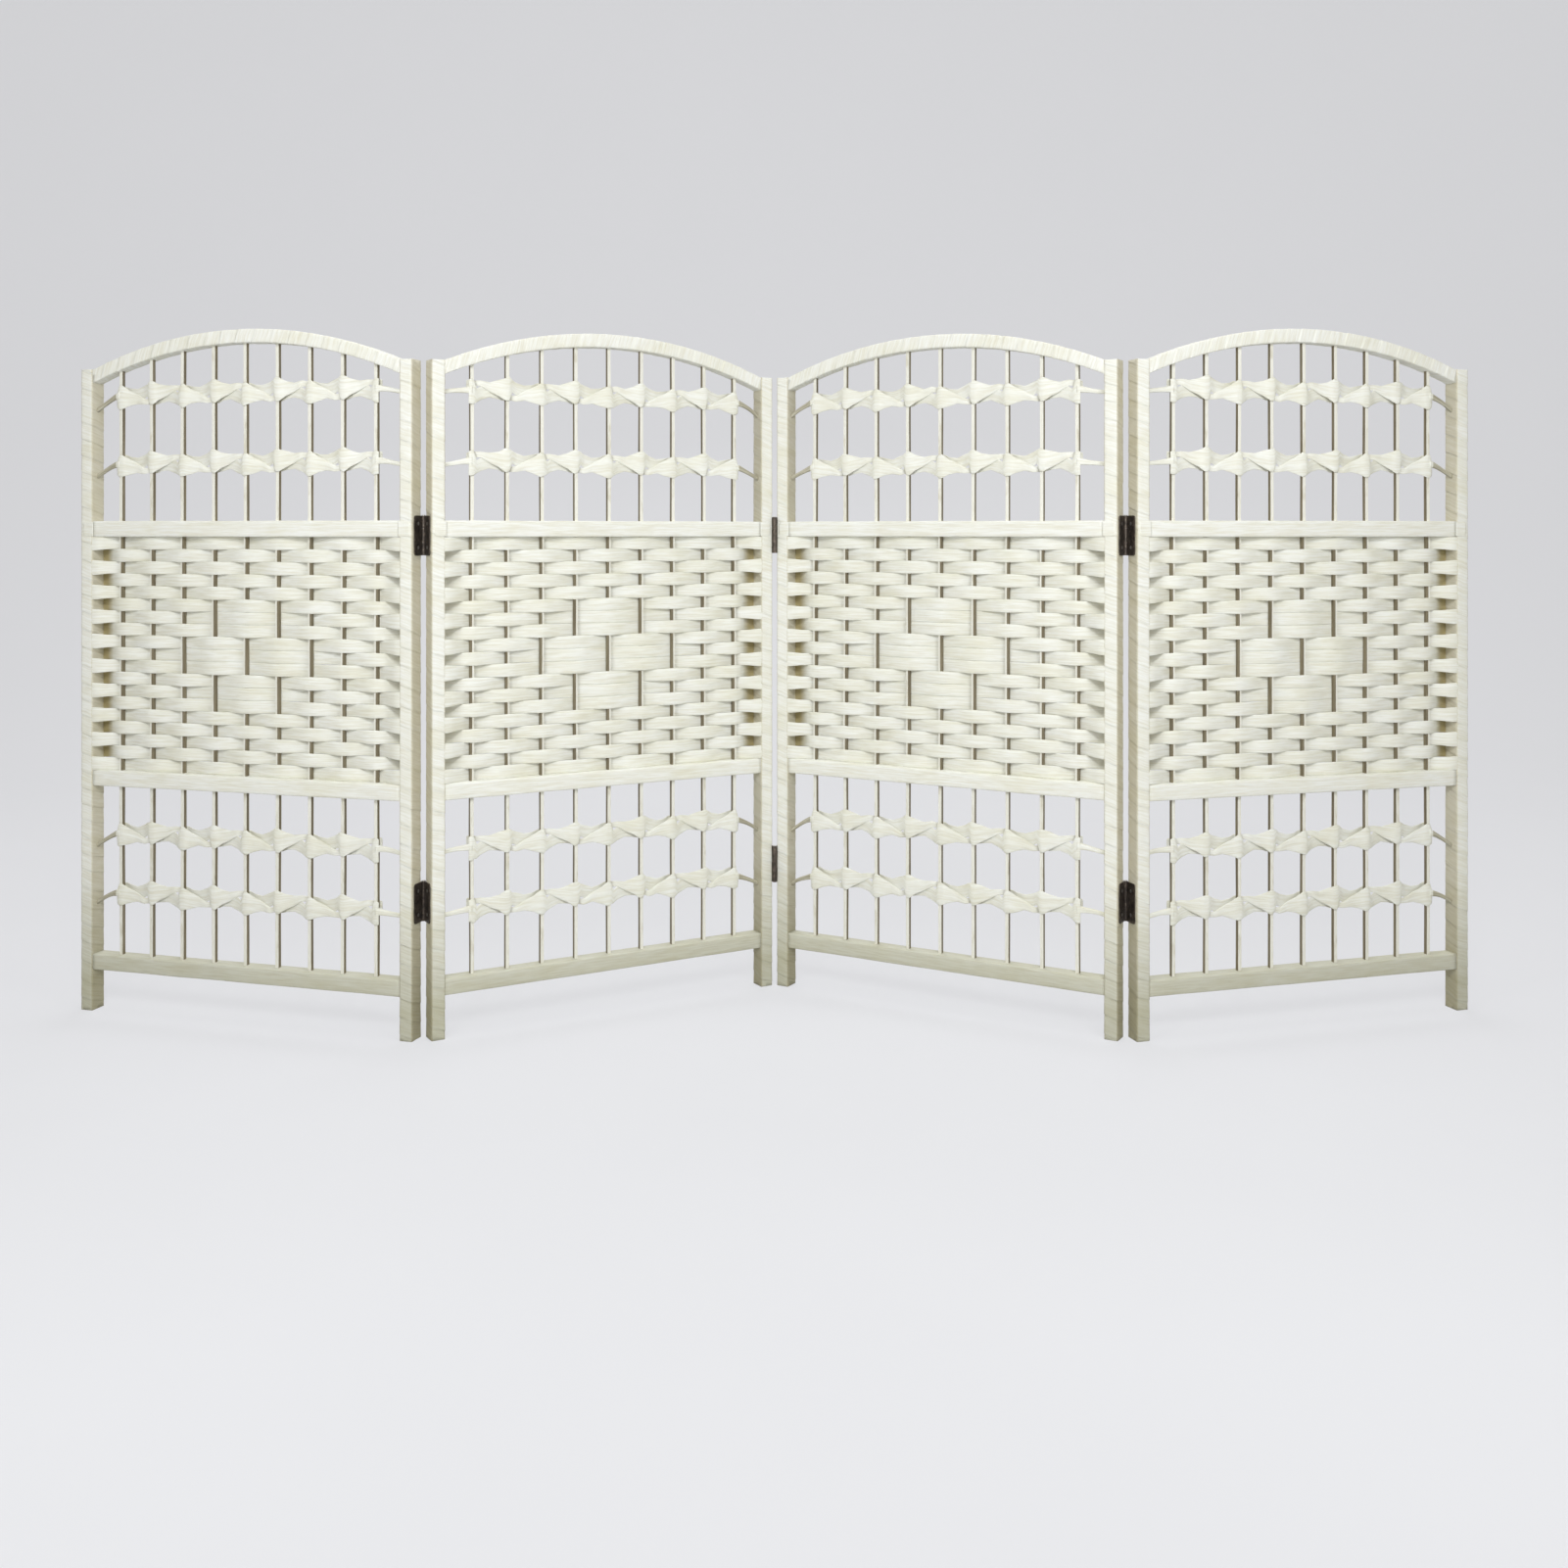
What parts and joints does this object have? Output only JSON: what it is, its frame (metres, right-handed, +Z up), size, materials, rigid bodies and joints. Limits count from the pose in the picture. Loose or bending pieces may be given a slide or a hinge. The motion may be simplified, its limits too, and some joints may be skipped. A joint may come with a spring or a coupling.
{
  "type": "folding screen",
  "caption": "Low folding screen of hinged arched panels, with woven paper ribbon between open ribbon lattices on upright sticks, to divide a room.",
  "frame": {"origin": "on the floor, under the middle of the whole screen as it stands in its zigzag", "axes": "+X along the screen to the viewer's right, +Z up, and the front looks along -Y"},
  "size_m": [1.843, 0.2678, 0.896],
  "materials": {
    "wrapped_frame": "wood wrapped in cream-white paper ribbon, matt",
    "paper_ribbon": "twisted paper flattened to ribbon, matt with fine lengthwise fibres",
    "stick_wood": "thin flat-sided wooden sticks, pale on the front and back, bare brown sides, matt",
    "hinge_bronze": "dark bronze lacquer, satin",
    "dark_steel": "darkened steel, satin"
  },
  "bodies": {
    "panel_1": {"panel_1_left_stile": "wrapped_frame", "panel_1_right_stile": "wrapped_frame", "panel_1_top_rail": "wrapped_frame", "panel_1_upper_rail": "wrapped_frame", "panel_1_lower_rail": "wrapped_frame", "panel_1_bottom_rail": "wrapped_frame", "panel_1_sticks": "stick_wood", "panel_1_wefts": "paper_ribbon", "panel_1_upper_lattice": "paper_ribbon", "panel_1_lower_lattice": "paper_ribbon", "panel_1_hinge_screws": "dark_steel", "joint_1_lower_hinge_left_leaf": "hinge_bronze", "joint_1_upper_hinge_left_leaf": "hinge_bronze", "joint_1_hinge_pins": "dark_steel"},
    "panel_2": {"panel_2_left_stile": "wrapped_frame", "panel_2_right_stile": "wrapped_frame", "panel_2_top_rail": "wrapped_frame", "panel_2_upper_rail": "wrapped_frame", "panel_2_lower_rail": "wrapped_frame", "panel_2_bottom_rail": "wrapped_frame", "panel_2_sticks": "stick_wood", "panel_2_wefts": "paper_ribbon", "panel_2_upper_lattice": "paper_ribbon", "panel_2_lower_lattice": "paper_ribbon", "panel_2_hinge_screws": "dark_steel", "joint_1_lower_hinge_right_leaf": "hinge_bronze", "joint_1_upper_hinge_right_leaf": "hinge_bronze", "joint_2_lower_hinge_left_leaf": "hinge_bronze", "joint_2_upper_hinge_left_leaf": "hinge_bronze", "joint_2_hinge_pins": "dark_steel"},
    "panel_3": {"panel_3_left_stile": "wrapped_frame", "panel_3_right_stile": "wrapped_frame", "panel_3_top_rail": "wrapped_frame", "panel_3_upper_rail": "wrapped_frame", "panel_3_lower_rail": "wrapped_frame", "panel_3_bottom_rail": "wrapped_frame", "panel_3_sticks": "stick_wood", "panel_3_wefts": "paper_ribbon", "panel_3_upper_lattice": "paper_ribbon", "panel_3_lower_lattice": "paper_ribbon", "panel_3_hinge_screws": "dark_steel", "joint_2_lower_hinge_right_leaf": "hinge_bronze", "joint_2_upper_hinge_right_leaf": "hinge_bronze", "joint_3_lower_hinge_left_leaf": "hinge_bronze", "joint_3_upper_hinge_left_leaf": "hinge_bronze", "joint_3_hinge_pins": "dark_steel"},
    "panel_4": {"panel_4_left_stile": "wrapped_frame", "panel_4_right_stile": "wrapped_frame", "panel_4_top_rail": "wrapped_frame", "panel_4_upper_rail": "wrapped_frame", "panel_4_lower_rail": "wrapped_frame", "panel_4_bottom_rail": "wrapped_frame", "panel_4_sticks": "stick_wood", "panel_4_wefts": "paper_ribbon", "panel_4_upper_lattice": "paper_ribbon", "panel_4_lower_lattice": "paper_ribbon", "panel_4_hinge_screws": "dark_steel", "joint_3_lower_hinge_right_leaf": "hinge_bronze", "joint_3_upper_hinge_right_leaf": "hinge_bronze"}
  },
  "joints": [
    {"name": "joint_1_fold", "type": "hinge", "parent": "panel_2", "child": "panel_1", "pos_m": [-0.44195, -0.10881, 0.4], "axis": [0, 0, 1], "range_deg": [-134, 46]},
    {"name": "joint_2_fold", "type": "hinge", "parent": "panel_2", "child": "panel_3", "pos_m": [0, 0.11171, 0.4], "axis": [0, 0, 1], "range_deg": [-120, 60]},
    {"name": "joint_3_fold", "type": "hinge", "parent": "panel_3", "child": "panel_4", "pos_m": [0.44195, -0.10881, 0.4], "axis": [0, 0, 1], "range_deg": [-46, 134]}
  ]
}
